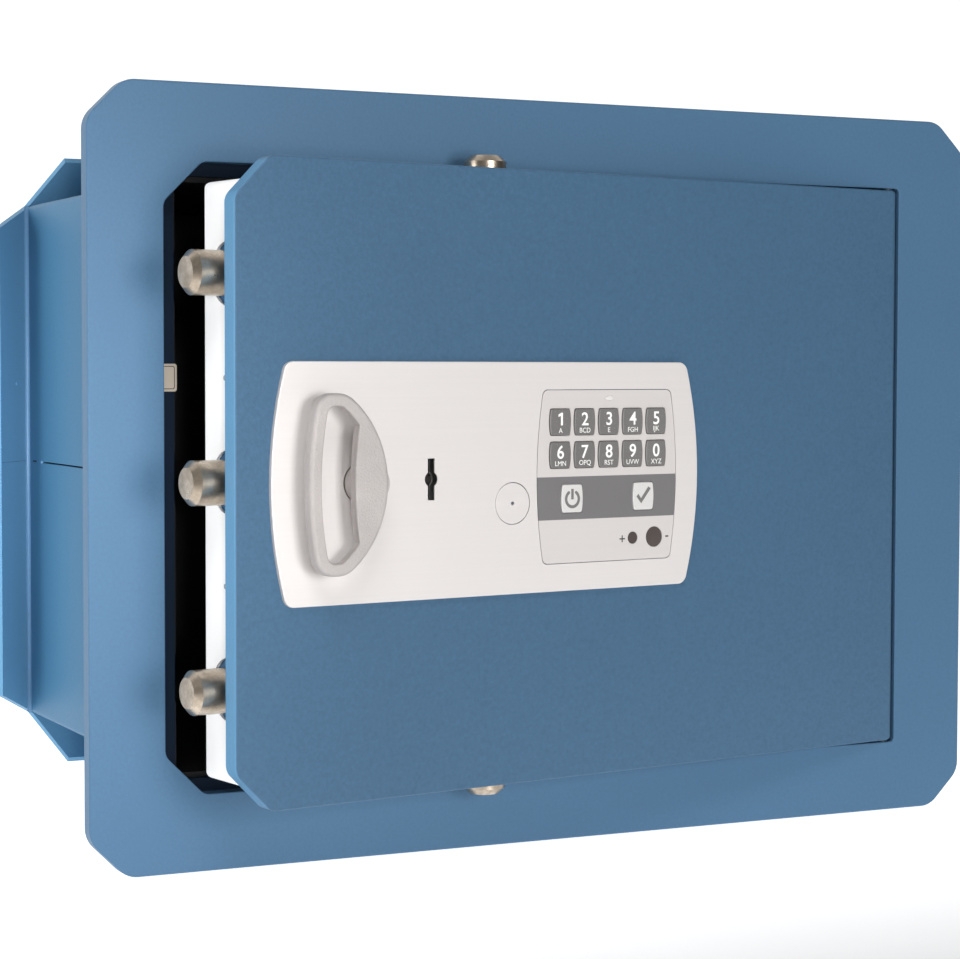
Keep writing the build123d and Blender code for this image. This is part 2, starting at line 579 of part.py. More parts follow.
with BuildPart() as handle_spindle:
    with BuildSketch(depth(-PANEL_T - 0.4)):
        with Locations((SPINDLE_X, SPINDLE_Z)):
            Circle(SPINDLE_R)
    extrude(amount=-(CRANK_D + PANEL_T + 0.4))
    with BuildSketch(depth(-PANEL_T - 0.4)):
        with Locations((SPINDLE_X, SPINDLE_Z)):
            Rectangle(SQUARE - 0.1, SQUARE - 0.1)
    extrude(amount=7.5)
    with BuildSketch(depth(CRANK_D)):
        with Locations((SPINDLE_X, SPINDLE_Z)):
            Rectangle(SQUARE, SQUARE)
    extrude(amount=-CRANK_T)
keep_on_door(handle_spindle.part, "handle_spindle")

with BuildPart() as spindle_clip:
    with BuildSketch(depth(LEAF_T + 0.2)):
        with Locations((SPINDLE_X, SPINDLE_Z)):
            Circle(9.5)
            Circle(SPINDLE_R, mode=Mode.SUBTRACT)
    extrude(amount=-1.4)
keep_on_door(spindle_clip.part, "spindle_clip")

PIN_ANGLE = math.radians(HANDLE_TURN / 2)
CRANK_X = SPINDLE_X - CRANK_R * math.sin(PIN_ANGLE)
CRANK_Z = SPINDLE_Z + CRANK_R * math.cos(PIN_ANGLE)
with BuildPart() as drive_crank:
    with BuildSketch(depth(CRANK_D)):
        with Locations((SPINDLE_X, SPINDLE_Z)):
            Circle(9.0)
        with Locations((CRANK_X, CRANK_Z)):
            Circle(5.0)
        make_hull()
        with Locations((SPINDLE_X, SPINDLE_Z)):
            Rectangle(SQUARE, SQUARE, mode=Mode.SUBTRACT)
    extrude(amount=-CRANK_T)
    with BuildSketch(depth(CRANK_D + CRANK_T)):
        with Locations((CRANK_X, CRANK_Z)):
            Circle(FOLLOWER_R)
    extrude(amount=-4.2)
keep_on_door(drive_crank.part, "drive_crank")

# ---------------------------------------------------------------- bolt carriage and side bolts
with BuildPart() as bolt_carriage:
    with BuildSketch(depth(PLATE_D)):
        with Locations(((PLATE_X0 + PLATE_X1) / 2, 0.5)):
            Rectangle(PLATE_X1 - PLATE_X0, 206)
        with Locations(((PLATE_X1 + ARM_X1) / 2, 0)):
            Rectangle(ARM_X1 - PLATE_X1, ARM_H)
        with Locations((CRANK_X, SPINDLE_Z + 12)):
            SlotOverall(16.5, 2 * FOLLOWER_R + 0.8, rotation=90, mode=Mode.SUBTRACT)
        for half in (1, -1):
            with Locations((TOP_X - THROW / 2, half * (FOLLOWER_Z - THROW / 2))):
                SlotCenterToCenter(THROW * math.sqrt(2), 2 * FOLLOWER_R + 0.3, rotation=half * 45,
                                   mode=Mode.SUBTRACT)
        for x, z in POSTS:
            with Locations((x - THROW / 2, z)):
                SlotCenterToCenter(THROW, 6.6, mode=Mode.SUBTRACT)
        with Locations((PLUNGER_X, ARM_H / 2)):
            Rectangle(2 * PLUNGER_R + 1, 14, mode=Mode.SUBTRACT)
    extrude(amount=-PLATE_T)
keep_on_door(bolt_carriage.part, "bolt_carriage")

for z, name in zip(SIDE_Z, ("upper_side_bolt", "middle_side_bolt", "lower_side_bolt")):
    with BuildPart() as side_bolt:
        with BuildSketch(Plane(origin=(SIDE_TIP, FRONT + BOLT_D, z), z_dir=(1, 0, 0))):
            Circle(BOLT_R)
        extrude(amount=SIDE_END - SIDE_TIP)
        tip = side_bolt.faces().sort_by(Axis.X)[0].edges()
        chamfer(tip, BOLT_TIP_LONG, BOLT_TIP_IN, reference=side_bolt.faces().filter_by(GeomType.CYLINDER)[0])
        with Locations((PLATE_X0 + 10, FRONT + PLATE_D + 5, z)):
            Box(20, 10, 40, mode=Mode.SUBTRACT)
    keep_on_door(side_bolt.part, name)

# ---------------------------------------------------------------- vertical bolts and links
for half, name in ((1, "top_bolt"), (-1, "bottom_bolt")):
    with BuildPart() as vertical_bolt:
        with BuildSketch(Plane(origin=(TOP_X, FRONT + BOLT_D, half * TOP_END), z_dir=(0, 0, half))):
            Circle(BOLT_R)
        extrude(amount=TOP_TIP - TOP_END)
        tip = vertical_bolt.faces().sort_by(Axis.Z)[-1 if half > 0 else 0].edges()
        chamfer(tip, BOLT_TIP_LONG, BOLT_TIP_IN,
                reference=vertical_bolt.faces().filter_by(GeomType.CYLINDER)[0])
        with Locations((TOP_X, FRONT + CRANK_D + 5, half * (TOP_END + 3.5))):
            Box(40, 10, 9, mode=Mode.SUBTRACT)
    keep_on_door(vertical_bolt.part, name)
    with BuildPart() as link:
        with BuildSketch(depth(CRANK_D)):
            with Locations((TOP_X, half * (FOLLOWER_Z - 7 + TOP_END + 7) / 2)):
                RectangleRounded(LINK_W, TOP_END + 14 - FOLLOWER_Z, 3)
        extrude(amount=-LINK_T)
        with BuildSketch(depth(CRANK_D + LINK_T)):
            with Locations((TOP_X, half * FOLLOWER_Z)):
                Circle(FOLLOWER_R)
        extrude(amount=-4.2)
    keep_on_door(link.part, name + "_link")

# ---------------------------------------------------------------- bolt guides and guide posts
with BuildPart() as side_bolt_guides:
    for z in SIDE_Z:
        with Locations(((GUIDE_X0 + GUIDE_X1) / 2, FRONT + (LEAF_T + GUIDE_D) / 2, z)):
            Box(GUIDE_X1 - GUIDE_X0, GUIDE_D - LEAF_T, 2 * GUIDE_HALF)
        with Locations(Location(((GUIDE_X0 + GUIDE_X1) / 2, FRONT + BOLT_D, z), (0, 90, 0))):
            Cylinder(BOLT_R + RUN, 40, mode=Mode.SUBTRACT)
keep_on_door(side_bolt_guides.part, "side_bolt_guides")

with BuildPart() as vertical_bolt_guides:
    for half in (1, -1):
        with Locations((TOP_X, FRONT + (LEAF_T + GUIDE_D) / 2, half * (GUIDE_Z0 + GUIDE_Z1) / 2)):
            Box(2 * GUIDE_HALF, GUIDE_D - LEAF_T, GUIDE_Z1 - GUIDE_Z0)
        with Locations((TOP_X, FRONT + BOLT_D, half * (GUIDE_Z0 + GUIDE_Z1) / 2)):
            Cylinder(BOLT_R + RUN, 40, mode=Mode.SUBTRACT)
keep_on_door(vertical_bolt_guides.part, "vertical_bolt_guides")

with BuildPart() as carriage_posts:
    for x, z in POSTS:
        with BuildSketch(depth(LEAF_T)):
            with Locations((x, z)):
                Circle(5)
        extrude(amount=-(PLATE_D - LEAF_T - 0.4))
        with BuildSketch(depth(PLATE_D - 1)):
            with Locations((x, z)):
                Circle(3)
        extrude(amount=-(PLATE_T + 2))
        with BuildSketch(depth(PLATE_D + PLATE_T + 0.4)):
            with Locations((x, z)):
                Circle(5)
        extrude(amount=-2)
keep_on_door(carriage_posts.part, "carriage_posts")

# ---------------------------------------------------------------- key lock and solenoid
with BuildPart() as lock_case:
    with BuildSketch(depth(LEAF_T)):
        with Locations((KEYHOLE_X, 0)):
            RectangleRounded(34, 62, 3)
        with Locations((KEYHOLE_X, KEYHOLE_Z)):
            Circle(10 + RUN, mode=Mode.SUBTRACT)
    extrude(amount=-18.5)
keep_on_door(lock_case.part, "lock_case")

with BuildPart() as key_rotor:
    with BuildSketch(depth(LEAF_T - 6)):
        with Locations((KEYHOLE_X, KEYHOLE_Z)):
            Circle(10)
    extrude(amount=-22)
    with BuildSketch(depth(LEAF_T - 6)):
        with Locations((KEYHOLE_X, KEYHOLE_Z)):
            Rectangle(KEYHOLE_W, KEYHOLE_H - 1)
            Circle(KEYHOLE_R - 0.2)
    extrude(amount=-18, mode=Mode.SUBTRACT)
keep_on_door(key_rotor.part, "key_rotor")

PLUNGER_D = PLATE_D + PLATE_T / 2
with BuildPart() as solenoid_body:
    with Locations((PLUNGER_X, FRONT + PLUNGER_D - 2, 70)):
        Box(24, 21, 30)
    with Locations((PLUNGER_X, FRONT + PLUNGER_D, 70)):
        Cylinder(PLUNGER_R + RUN, 31, mode=Mode.SUBTRACT)
    with Locations((PLUNGER_X, FRONT + (LEAF_T + PLUNGER_D - 12.5) / 2, 70)):
        Box(16, PLUNGER_D - 12.5 - LEAF_T, 22)
keep_on_door(solenoid_body.part, "solenoid_body")

with BuildPart() as lock_plunger:
    with BuildSketch(Plane(origin=(PLUNGER_X, FRONT + PLUNGER_D, PLUNGER_Z), z_dir=(0, 0, 1))):
        Circle(PLUNGER_R)
    extrude(amount=34)
keep_on_door(lock_plunger.part, "lock_plunger")

# ---------------------------------------------------------------- battery compartment
TRAY_D0, TRAY_D1 = 26.0, LEAF_T + COVER_D - COVER_T
CELL_R, CELL_L, CELL_PITCH = 7.2, 50.0, 15.2
with BuildPart() as battery_tray:
    with BuildSketch(depth(TRAY_D0)):
        with Locations((TRAY_X, 0)):
            Rectangle(58, 66)
    extrude(amount=-(TRAY_D1 - TRAY_D0))
    with BuildSketch(depth(TRAY_D0 + 1.5)):
        with Locations((TRAY_X, 0)):
            Rectangle(54, 62)
    extrude(amount=-TRAY_D1, mode=Mode.SUBTRACT)
keep_on_door(battery_tray.part, "battery_tray")

with BuildPart() as batteries:
    for row in range(4):
        z = (row - 1.5) * CELL_PITCH
        end = TRAY_X - CELL_L / 2 if row % 2 else TRAY_X + CELL_L / 2
        way = 1 if row % 2 else -1
        with BuildSketch(Plane(origin=(end, FRONT + TRAY_D0 + 1.5 + CELL_R + 0.2, z), z_dir=(way, 0, 0))):
            Circle(CELL_R)
        extrude(amount=CELL_L - 1.2)
        with BuildSketch(Plane(origin=(end + way * (CELL_L - 1.2), FRONT + TRAY_D0 + 1.5 + CELL_R + 0.2, z),
                               z_dir=(way, 0, 0))):
            Circle(2.7)
        extrude(amount=1.2)
keep_on_door(batteries.part, "batteries")

with BuildPart() as battery_lid:
    with BuildSketch(depth(LEAF_T + COVER_D)):
        with Locations((TRAY_X, 0)):
            RectangleRounded(64, 72, 4)
    extrude(amount=-1.8)
    fillet(battery_lid.faces().sort_by(Axis.Y)[-1].edges(), 0.8)
keep_on_door(battery_lid.part, "battery_lid")
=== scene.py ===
import bpy
import bmesh
import math
import json
from mathutils import Matrix, Vector


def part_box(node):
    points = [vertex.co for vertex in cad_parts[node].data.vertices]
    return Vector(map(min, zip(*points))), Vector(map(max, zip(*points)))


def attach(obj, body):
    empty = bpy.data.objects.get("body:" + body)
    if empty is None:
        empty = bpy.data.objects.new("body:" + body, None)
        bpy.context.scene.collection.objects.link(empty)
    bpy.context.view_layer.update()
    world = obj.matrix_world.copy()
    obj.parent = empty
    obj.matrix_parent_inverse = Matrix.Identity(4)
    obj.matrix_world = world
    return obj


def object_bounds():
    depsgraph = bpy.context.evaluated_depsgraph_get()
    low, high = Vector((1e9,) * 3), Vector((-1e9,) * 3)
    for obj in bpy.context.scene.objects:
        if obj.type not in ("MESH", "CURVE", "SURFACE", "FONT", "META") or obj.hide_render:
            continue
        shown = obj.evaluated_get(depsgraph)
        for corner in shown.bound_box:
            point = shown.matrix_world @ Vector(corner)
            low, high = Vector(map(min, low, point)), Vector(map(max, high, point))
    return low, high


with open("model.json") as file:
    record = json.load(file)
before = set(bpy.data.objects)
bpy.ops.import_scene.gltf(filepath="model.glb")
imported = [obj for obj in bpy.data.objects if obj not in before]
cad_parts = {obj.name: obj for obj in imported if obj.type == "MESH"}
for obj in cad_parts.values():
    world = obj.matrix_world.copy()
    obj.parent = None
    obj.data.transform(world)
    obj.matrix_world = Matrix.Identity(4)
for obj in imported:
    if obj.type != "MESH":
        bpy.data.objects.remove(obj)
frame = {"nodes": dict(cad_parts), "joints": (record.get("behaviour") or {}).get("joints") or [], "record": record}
cad_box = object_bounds()
nodes = frame["nodes"]
joints = {j["name"]: j for j in frame["joints"]}

# ------------------------------------------------------------------ the door's own directions
ALONG = Vector(joints["bolt_throw"]["axis"])
INTO = Vector(joints["handle_turn"]["axis"])
UP = Vector((0, 0, 1))


def door_span(node):
    """Lowest and highest extent of a node along the door's width, height and depth."""
    co = [v.co for v in nodes[node].data.vertices]
    rows = []
    for axis in (ALONG, UP, INTO):
        d = [c.dot(axis) for c in co]
        rows.append((min(d), max(d)))
    return rows


def on_door(a, z, n):
    """A point from its position along the door's width, height and depth."""
    return ALONG * a + UP * z + INTO * n


def door_matrix(a, z, n):
    """A frame lying on the door: local x across, local y up, local z towards the viewer."""
    m = Matrix((ALONG, UP, -INTO)).transposed().to_4x4()
    m.translation = on_door(a, z, n)
    return m


# ------------------------------------------------------------------ materials
class Mat:
    def __init__(self, name):
        self.m = bpy.data.materials.new(name)
        self.m.use_nodes = True
        self.t = self.m.node_tree
        self.bsdf = self.t.nodes["Principled BSDF"]
        coord = self.t.nodes.new("ShaderNodeTexCoord")
        self.co = coord.outputs["Object"]

    def node(self, kind, **values):
        n = self.t.nodes.new(kind)
        for k, v in values.items():
            if k in n.inputs:
                n.inputs[k].default_value = v
            else:
                setattr(n, k, v)
        return n

    def link(self, a, b):
        self.t.links.new(a, b)

    def noise(self, scale, detail=3.0, rough=0.5, stretch=None):
        n = self.node("ShaderNodeTexNoise", Scale=scale, Detail=detail, Roughness=rough)
        if stretch:
            mp = self.node("ShaderNodeMapping")
            mp.inputs["Scale"].default_value = stretch
            self.link(self.co, mp.inputs["Vector"])
            self.link(mp.outputs["Vector"], n.inputs["Vector"])
        else:
            self.link(self.co, n.inputs["Vector"])
        return n.outputs["Fac"]

    def ramp(self, fac, stops):
        r = self.t.nodes.new("ShaderNodeValToRGB")
        e = r.color_ramp.elements
        e[0].position, e[0].color = stops[0][0], (*stops[0][1], 1)
        e[1].position, e[1].color = stops[-1][0], (*stops[-1][1], 1)
        for p, c in stops[1:-1]:
            x = e.new(p)
            x.color = (*c, 1)
        self.link(fac, r.inputs["Fac"])
        return r.outputs["Color"]

    def feed(self, socket, v):
        """Give a socket a colour, a number or another node's output."""
        if isinstance(v, tuple):
            socket.default_value = (*v, 1)
        elif isinstance(v, (int, float)):
            socket.default_value = v
        else:
            self.link(v, socket)

    def mix(self, fac, a, b, blend="MIX"):
        n = self.node("ShaderNodeMix", data_type="RGBA", blend_type=blend)
        self.feed(n.inputs[0], fac)
        self.feed(n.inputs[6], a)
        self.feed(n.inputs[7], b)
        return n.outputs[2]

    def math(self, op, a, b):
        n = self.node("ShaderNodeMath", operation=op)
        self.feed(n.inputs[0], a)
        self.feed(n.inputs[1], b)
        return n.outputs[0]

    def base(self):
        """What the base colour is fed by so far."""
        return self.bsdf.inputs["Base Color"].links[0].from_socket

    def colour(self, v):
        self.feed(self.bsdf.inputs["Base Color"], v)
        return self

    def rough(self, v):
        self.feed(self.bsdf.inputs["Roughness"], v)
        return self

    def rough_between(self, fac, lo, hi, start=0.3, stop=0.7):
        """Roughness that follows a noise between two values."""
        return self.rough(self.ramp(fac, [(start, (lo,) * 3), (stop, (hi,) * 3)]))

    def metal(self, v):
        self.bsdf.inputs["Metallic"].default_value = v
        return self

    def set(self, **values):
        for k, v in values.items():
            self.bsdf.inputs[k.replace("_", " ")].default_value = v
        return self

    def bump(self, height, strength, distance):
        b = self.node("ShaderNodeBump", Strength=strength, Distance=distance)
        self.link(height, b.inputs["Height"])
        self.link(b.outputs["Normal"], self.bsdf.inputs["Normal"])
        return self


def shade(c, k):
    """A colour made lighter or darker by a factor."""
    return tuple(min(1.0, x * k) for x in c)


def map_range(tree, value, from_lo, from_hi, to_lo, to_hi, smooth=True):
    """A map-range node; the last two ends may be numbers or other outputs."""
    n = tree.nodes.new("ShaderNodeMapRange")
    if smooth:
        n.interpolation_type = "SMOOTHSTEP"
    ends = (("From Min", from_lo), ("From Max", from_hi), ("To Min", to_lo), ("To Max", to_hi))
    for end, v in ends:
        if isinstance(v, (int, float)):
            n.inputs[end].default_value = v
        else:
            tree.links.new(v, n.inputs[end])
    tree.links.new(value, n.inputs["Value"])
    return n.outputs["Result"]


def powder(name, base, rough, grain, strength, spread=0.06):
    """Powder coat: an even colour over a fine orange-peel grain."""
    m = Mat(name)
    fine = m.noise(grain, 4.0, 0.62)
    broad = m.noise(14.0, 3.0, 0.5)
    c = m.ramp(fine, [(0.25, shade(base, 1 - spread)), (0.5, base), (0.78, shade(base, 1 + spread))])
    tint = m.ramp(broad, [(0.3, (0.97, 0.97, 0.97)), (0.7, (1.0, 1.0, 1.0))])
    m.colour(m.mix(1.0, c, tint, "MULTIPLY"))
    m.rough_between(fine, rough - 0.06, rough + 0.07, stop=0.75)
    m.bump(fine, strength, 0.0004)
    return m


BLUE = (0.072, 0.154, 0.258)
# painted shade: the leaf's blue is the flange's paint set darker, because the leaf catches less light
DOOR_SHADED_BLUE = (0.057, 0.126, 0.213)
# painted light: the lighter blue of the leaf's side face, the one turned away from the hinges
LIT_SIDE_BLUE = (0.100, 0.255, 0.425)
BODY_BLUE = (0.053, 0.166, 0.294)
# painted shade: the stop frame is the same blue paint, set near black because it lies in shade
STOP_SHADE_BLUE = (0.004, 0.0115, 0.026)
# painted shade: near black for the body's inside and the shell's front ends
INSIDE_SHADE = (0.006, 0.006, 0.007)
# painted light: how much lighter the anchoring flaps are painted
FLAP_PAINTED_LIGHT = (2.2, 1.7, 1.55)
GRAIN = 620.0


def door_coat():
    """The leaf's blue, with painted light: faces turned away from the hinges are painted a lighter, bluer blue."""
    m = powder("door_paint", DOOR_SHADED_BLUE, 0.42, 520.0, 0.5, 0.12)
    m.set(Specular_IOR_Level=0.2)
    # painted light: a mask from the surface's facing lightens the faces turned away from the hinges
    dot = m.node("ShaderNodeVectorMath", operation="DOT_PRODUCT")
    m.link(m.node("ShaderNodeTexCoord").outputs["Normal"], dot.inputs[0])
    dot.inputs[1].default_value = -ALONG
    lit_side_mask = map_range(m.t, dot.outputs["Value"], 0.45, 0.8, 0.0, 1.0, smooth=False)
    m.colour(m.mix(lit_side_mask, m.base(), LIT_SIDE_BLUE))
    return m


flange_paint = powder("flange_paint", BLUE, 0.42, GRAIN, 0.22)
flange_paint.set(Specular_IOR_Level=0.12)
door_paint = door_coat()
# painted shade: the hinge pins are a quarter of the flange blue, so they read dark in their narrow gap
pin_blue = powder("pin_blue", shade(BLUE, 0.25), 0.5, GRAIN, 0.2)
# the stop frame's near-black blue is painted shade
frame_paint = powder("frame_paint", STOP_SHADE_BLUE, 0.6, GRAIN, 0.2)
frame_paint.set(Specular_IOR_Level=0.1)
pan_paint = powder("pan_paint", shade(BLUE, 0.5), 0.5, GRAIN, 0.2)


def any_of(m, parts):
    """One where any of the given masks is one."""
    out = parts[0]
    for part in parts[1:]:
        out = m.math("MAXIMUM", out, part)
    return out


def body_paint():
    """Blue outside, with the anchoring flaps painted lighter as painted light; the inside and the front ends are
    painted near black as painted shade.
    """
    m = powder("shell_paint", BODY_BLUE, 0.5, GRAIN, 0.2)
    m.set(Specular_IOR_Level=0.2)
    lo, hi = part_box("back_plate")
    sep = m.node("ShaderNodeSeparateXYZ")
    m.link(m.co, sep.inputs[0])
    x, y, z = sep.outputs
    skin, front_end, past_wall = 0.0004, 0.0035, 0.0032
    inside = m.math("GREATER_THAN", x, lo.x - skin)
    for side in (
        m.math("LESS_THAN", x, hi.x + skin),
        m.math("GREATER_THAN", z, lo.z - skin),
        m.math("LESS_THAN", z, hi.z + skin),
        m.math("LESS_THAN", y, hi.y - skin),
    ):
        inside = m.math("MULTIPLY", inside, side)
    # painted shade: the inside and the shell's front ends take the near-black colour
    inside = any_of(m, [inside, m.math("LESS_THAN", y, front_end)])
    flap = any_of(m, [
        m.math("LESS_THAN", x, lo.x - past_wall),
        m.math("GREATER_THAN", x, hi.x + past_wall),
        m.math("GREATER_THAN", z, hi.z + past_wall),
        m.math("LESS_THAN", z, lo.z - past_wall),
    ])
    # painted light: the flaps' blue is multiplied lighter
    outside = m.mix(flap, m.base(), FLAP_PAINTED_LIGHT, "MULTIPLY")
    m.colour(m.mix(inside, outside, INSIDE_SHADE))
    return m


shell_paint = body_paint()


def white_paint():
    """White lacquer of the cover behind the leaf."""
    m = Mat("cover_paint")
    g = m.noise(500.0, 3.0)
    b = m.noise(9.0, 2.0)
    m.colour(m.ramp(b, [(0.3, (0.94, 0.925, 0.90)), (0.7, (0.955, 0.94, 0.92))]))
    m.rough_between(g, 0.38, 0.46)
    m.bump(g, 0.12, 0.0003)
    return m


cover_paint = white_paint()


def zinc(name, lo, mid, hi, rough):
    """Plated turned steel: cloudy, faintly yellow, with fine turning marks."""
    m = Mat(name)
    cloud = m.noise(150.0, 6.0, 0.66)
    fine = m.noise(900.0, 3.0, 0.6)
    m.colour(m.ramp(cloud, [(0.30, lo), (0.5, mid), (0.70, hi)]))
    m.metal(1.0)
    m.rough_between(cloud, rough + 0.10, rough - 0.06)
    m.bump(fine, 0.12, 0.0002)
    return m


bolt_zinc = zinc("bolt_zinc", (0.32, 0.265, 0.205), (0.46, 0.385, 0.305), (0.64, 0.55, 0.455), 0.30)
steel = zinc("steel", (0.48, 0.48, 0.47), (0.60, 0.60, 0.59), (0.72, 0.72, 0.70), 0.36)
brass = zinc("lock_brass", (0.50, 0.38, 0.17), (0.62, 0.50, 0.25), (0.74, 0.62, 0.34), 0.34)
rotor_metal = zinc("rotor_metal", (0.30, 0.29, 0.28), (0.40, 0.39, 0.38), (0.48, 0.47, 0.46), 0.4)


def silver(name, base, rough, metallic, spread):
    """Silver lacquer over brushed sheet: faint streaks along the panel's length."""
    m = Mat(name)
    streak = m.noise(60.0, 5.0, 0.6, stretch=(0.12, 0.12, 12.0))
    fleck = m.noise(1500.0, 2.0, 0.5)
    m.colour(m.ramp(streak, [(0.3, shade(base, 1 - spread)), (0.7, shade(base, 1 + spread))]))
    m.metal(metallic)
    m.rough_between(fleck, rough - 0.04, rough + 0.05)
    m.bump(fleck, 0.05, 0.0002)
    return m


panel_silver = silver("panel_silver", (0.72, 0.685, 0.67), 0.36, 0.15, 0.012)
keypad_face = silver("keypad_face", (0.62, 0.587, 0.572), 0.42, 0.05, 0.008)


def casting():
    """Lacquered die casting of the handle: matt, with a coarse grain."""
    m = Mat("handle_silver")
    grain = m.noise(1100.0, 4.0, 0.6)
    broad = m.noise(60.0, 3.0, 0.5)
    m.colour(m.ramp(broad, [(0.3, (0.455, 0.424, 0.411)), (0.7, (0.505, 0.470, 0.457))]))
    m.metal(0.35)
    m.rough_between(grain, 0.50, 0.66)
    m.bump(grain, 0.7, 0.0006)
    return m


handle_silver = casting()


def plastic(name, base, rough, spread=0.05, grain=900.0, strength=0.06):
    """Moulded plastic or print: one colour with a very fine texture."""
    m = Mat(name)
    g = m.noise(grain, 3.0)
    b = m.noise(40.0, 2.0)
    m.colour(m.ramp(b, [(0.3, shade(base, 1 - spread)), (0.7, shade(base, 1 + spread))]))
    m.rough_between(g, rough - 0.04, rough + 0.05)
    m.bump(g, strength, 0.0002)
    return m


key_grey = plastic("key_grey", (0.175, 0.168, 0.163), 0.24)
band_grey = plastic("band_grey", (0.171, 0.166, 0.169), 0.38, 0.02)
button_pale = plastic("button_pale", (0.66, 0.645, 0.63), 0.3, 0.02)
lamp_lens = plastic("lamp_lens", (0.72, 0.70, 0.68), 0.18, 0.02)
contact_metal = plastic("contact_metal", (0.075, 0.06, 0.055), 0.35, 0.2, 500.0, 0.3)
guide_blue = plastic("guide_blue", (0.03, 0.105, 0.21), 0.4, 0.08)
board_green = plastic("board_green", (0.02, 0.11, 0.045), 0.35, 0.2)
tray_black = plastic("tray_black", (0.02, 0.02, 0.021), 0.5, 0.2)
cell_wrap = plastic("cell_wrap", (0.03, 0.032, 0.036), 0.22, 0.3)
print_white = plastic("print_white", (0.93, 0.92, 0.90), 0.45, 0.01)
print_grey = plastic("print_grey", (0.17, 0.165, 0.16), 0.45, 0.03)
# dark print for the plus and minus marks, and painted shade for the contact plate's groove
dark_print_and_shade = plastic("dark_print_and_shade", (0.035, 0.032, 0.032), 0.5, 0.05)
plate_tan = plastic("plate_tan", (0.50, 0.43, 0.35), 0.4, 0.12, 500.0, 0.2)
screw_shadow = plastic("screw_shadow", (0.30, 0.29, 0.28), 0.5, 0.05)
# one and a half times the flange blue: a painted highlight for the weld bead and the fold bead
weld_highlight_paint = powder("weld_highlight_paint", shade(BLUE, 1.5), 0.4, GRAIN, 0.2)
seam_paint = powder("seam_paint", shade(BLUE, 0.55), 0.5, GRAIN, 0.2)
# near black: painted shade standing for the slit's hollow
hole_dark = plastic("hole_dark", (0.004, 0.004, 0.005), 0.8, 0.1)

BY_SLOT = {
    "flange_paint": flange_paint, "door_paint": door_paint, "shell_paint": shell_paint,
    "frame_paint": frame_paint, "pin_blue": pin_blue, "cover_paint": cover_paint,
    "bolt_zinc": bolt_zinc, "steel": steel,
    "panel_silver": panel_silver, "handle_silver": handle_silver, "keypad_grey": keypad_face,
    "key_grey": key_grey, "band_grey": band_grey, "button_pale": button_pale,
    "lamp_lens": lamp_lens, "contact_metal": contact_metal, "guide_blue": guide_blue,
    "lock_brass": brass, "board_green": board_green, "tray_black": tray_black, "cell_wrap": cell_wrap,
}
BY_NODE = {
    "back_plate": shell_paint, "left_bolt_pan": pan_paint, "top_bolt_pan": pan_paint,
    "bottom_bolt_pan": pan_paint, "key_rotor": rotor_metal, "cover_screws": cover_paint,
    "door_contact_plate": plate_tan,
}
for part in frame["record"]["subparts"]:
    node = nodes[part["node"]]
    m = BY_NODE.get(part["node"]) or BY_SLOT[part["material_slot"]]
    node.data.materials.clear()
    node.data.materials.append(m.m)


# ------------------------------------------------------------------ small pieces
LIFT = 0.00002
THIN = 0.00004


def piece(name, mesh, material, body):
    """A visible piece riding on a body."""
    ob = bpy.data.objects.new(name, mesh)
    bpy.context.scene.collection.objects.link(ob)
    mesh.materials.clear()
    mesh.materials.append(material.m)
    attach(ob, body)
    return ob


def finished(name, bm):
    """A mesh made from a bmesh, which is freed."""
    mesh = bpy.data.meshes.new(name)
    bm.to_mesh(mesh)
    bm.free()
    return mesh


def print_mesh(name, text, size, bold):
    """A closed, very thin letter shape centred on its own origin."""
    cu = bpy.data.curves.new(name, "FONT")
    cu.body = text
    cu.size = size
    cu.align_x = "CENTER"
    cu.align_y = "CENTER"
    cu.extrude = THIN / 2
    cu.offset = bold
    cu.resolution_u = 6
    ob = bpy.data.objects.new(name, cu)
    bpy.context.scene.collection.objects.link(ob)
    bpy.context.view_layer.update()
    deps = bpy.context.evaluated_depsgraph_get()
    mesh = bpy.data.meshes.new_from_object(ob.evaluated_get(deps))
    bpy.data.objects.remove(ob)
    bpy.data.curves.remove(cu)
    xs = [v.co.x for v in mesh.vertices]
    ys = [v.co.y for v in mesh.vertices]
    mesh.transform(Matrix.Translation((-(min(xs) + max(xs)) / 2, -(min(ys) + max(ys)) / 2, 0)))
    bm = bmesh.new()
    bm.from_mesh(mesh)
    bmesh.ops.remove_doubles(bm, verts=bm.verts, dist=1e-6)
    bm.to_mesh(mesh)
    bm.free()
    return mesh


def flat_mesh(name, loops, thick=THIN):
    """Closed thin plates from outlines in local x, y."""
    bm = bmesh.new()
    for loop in loops:
        low = [bm.verts.new((x, y, -thick / 2)) for x, y in loop]
        high = [bm.verts.new((x, y, thick / 2)) for x, y in loop]
        bm.faces.new(low[::-1])
        bm.faces.new(high)
        k = len(loop)
        for i in range(k):
            bm.faces.new((low[i], low[(i + 1) % k], high[(i + 1) % k], high[i]))
    bmesh.ops.recalc_face_normals(bm, faces=bm.faces)
    return finished(name, bm)


def arc(centre_x, centre_y, r, a0, a1, steps):
    """Points of an arc from angle a0 to angle a1, both ends included."""
    angles = [a0 + (a1 - a0) * i / steps for i in range(steps + 1)]
    return [(centre_x + r * math.cos(a), centre_y + r * math.sin(a)) for a in angles]


def arc_band(r, w, a0, a1, n=28):
    """Outline of an arc of width w and middle radius r, with round ends."""
    out = arc(0, 0, r + w / 2, a0, a1, n)
    out += arc(r * math.cos(a1), r * math.sin(a1), w / 2, a1, a1 + math.pi, 6)[1:-1]
    out += arc(0, 0, r - w / 2, a1, a0, n)
    out += arc(r * math.cos(a0), r * math.sin(a0), w / 2, a0 + math.pi, a0 + math.tau, 6)[1:-1]
    return out


